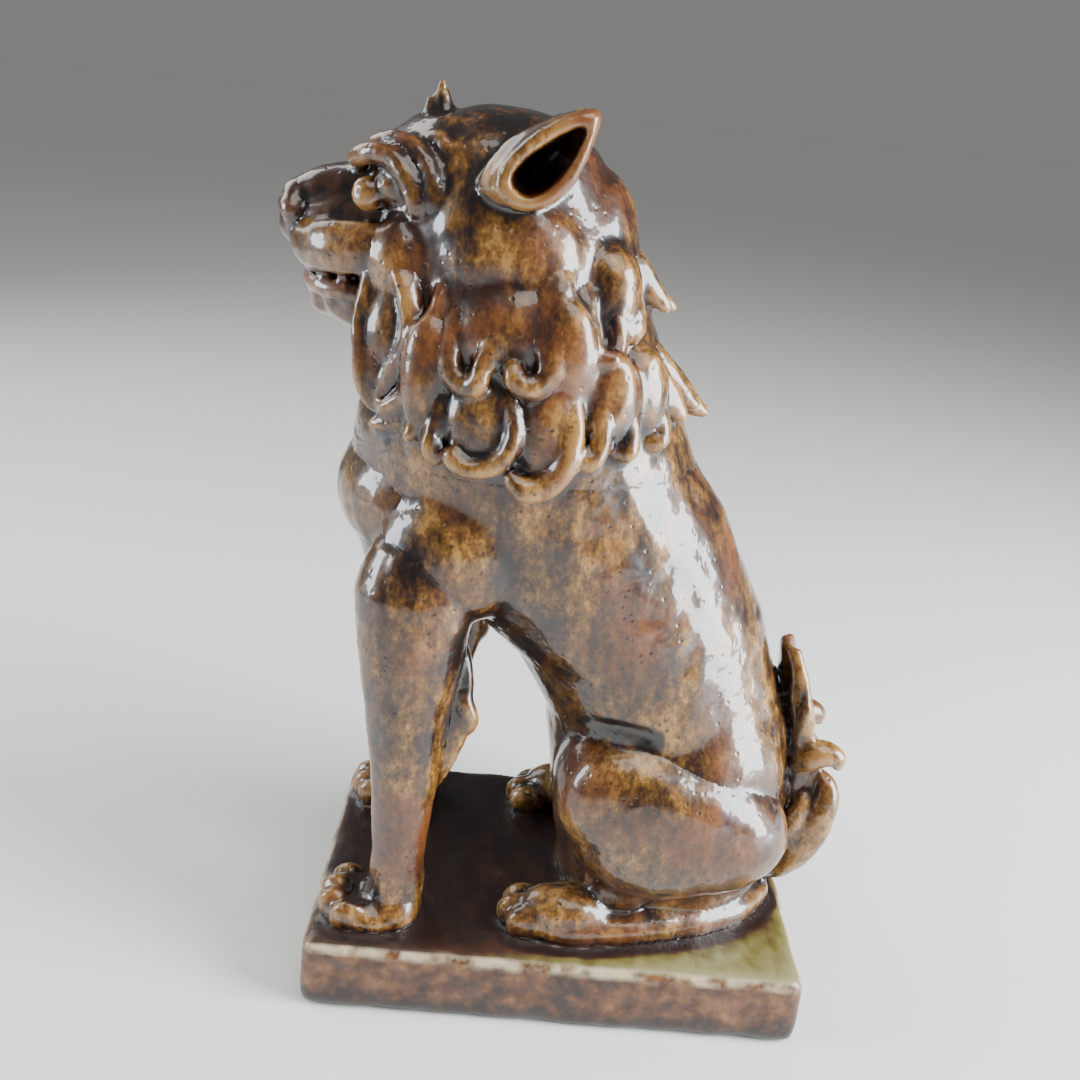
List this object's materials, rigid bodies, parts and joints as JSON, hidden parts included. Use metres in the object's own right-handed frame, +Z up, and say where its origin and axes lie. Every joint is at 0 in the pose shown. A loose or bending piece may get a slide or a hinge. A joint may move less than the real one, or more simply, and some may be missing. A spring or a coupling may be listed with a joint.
{
  "type": "seated guardian lion-dog figurine",
  "caption": "Seated guardian lion-dog in ash-glazed stoneware on a rectangular slab plinth, a free-standing ornament.",
  "frame": {"origin": "centre of the plinth's flat underside", "axes": "+Z up, the dog faces -Y, +X is the dog's left side"},
  "size_m": [0.086, 0.157, 0.226],
  "materials": {
    "ash_glaze": "glossy running ash glaze, olive to cream over brown stoneware, pooled dark brown in the hollows",
    "iron_glaze": "glossy glaze, thick and dark iron brown",
    "plinth_glaze": "glossy dark brown on the top, mottled pinkish brown on the sides, with olive runs"
  },
  "bodies": {
    "root": {"beard_left": "ash_glaze", "beard_right": "ash_glaze", "brow_curl_left": "ash_glaze", "brow_curl_right": "ash_glaze", "brow_left": "ash_glaze", "brow_right": "ash_glaze", "chest": "ash_glaze", "crown_bud_left": "ash_glaze", "crown_bud_right": "ash_glaze", "ear_left": "ash_glaze", "ear_right": "ash_glaze", "elbow_tuft_left": "ash_glaze", "elbow_tuft_right": "ash_glaze", "eye_left": "ash_glaze", "eye_right": "ash_glaze", "fore_paw_left": "ash_glaze", "fore_paw_right": "ash_glaze", "foreleg_left": "ash_glaze", "foreleg_right": "ash_glaze", "haunch_left": "ash_glaze", "haunch_right": "ash_glaze", "head": "ash_glaze", "hind_foot_left": "ash_glaze", "hind_foot_right": "ash_glaze", "horn": "ash_glaze", "jaw": "ash_glaze", "mane_lock_cheek_left": "ash_glaze", "mane_lock_cheek_right": "ash_glaze", "mane_lock_collar_left": "ash_glaze", "mane_lock_collar_right": "ash_glaze", "mane_lock_crest_left": "ash_glaze", "mane_lock_crest_right": "ash_glaze", "mane_lock_ear_left": "ash_glaze", "mane_lock_ear_right": "ash_glaze", "mane_lock_flank_left": "ash_glaze", "mane_lock_flank_right": "ash_glaze", "mane_lock_jaw_left": "ash_glaze", "mane_lock_jaw_right": "ash_glaze", "mane_lock_nape_left": "ash_glaze", "mane_lock_nape_right": "ash_glaze", "mane_lock_shoulder_left": "ash_glaze", "mane_lock_shoulder_right": "ash_glaze", "mane_lock_throat_left": "ash_glaze", "mane_lock_throat_right": "ash_glaze", "mane_lock_withers_left": "ash_glaze", "mane_lock_withers_right": "ash_glaze", "mane_locks_ridge": "ash_glaze", "muzzle": "iron_glaze", "nose": "iron_glaze", "plinth": "plinth_glaze", "tail_curl_left": "ash_glaze", "tail_curl_right": "ash_glaze", "tail_leaf": "ash_glaze", "tail_lobe_left": "ash_glaze", "tail_lobe_right": "ash_glaze", "teeth": "iron_glaze", "torso": "ash_glaze", "upper_lip": "ash_glaze"}
  },
  "joints": []
}
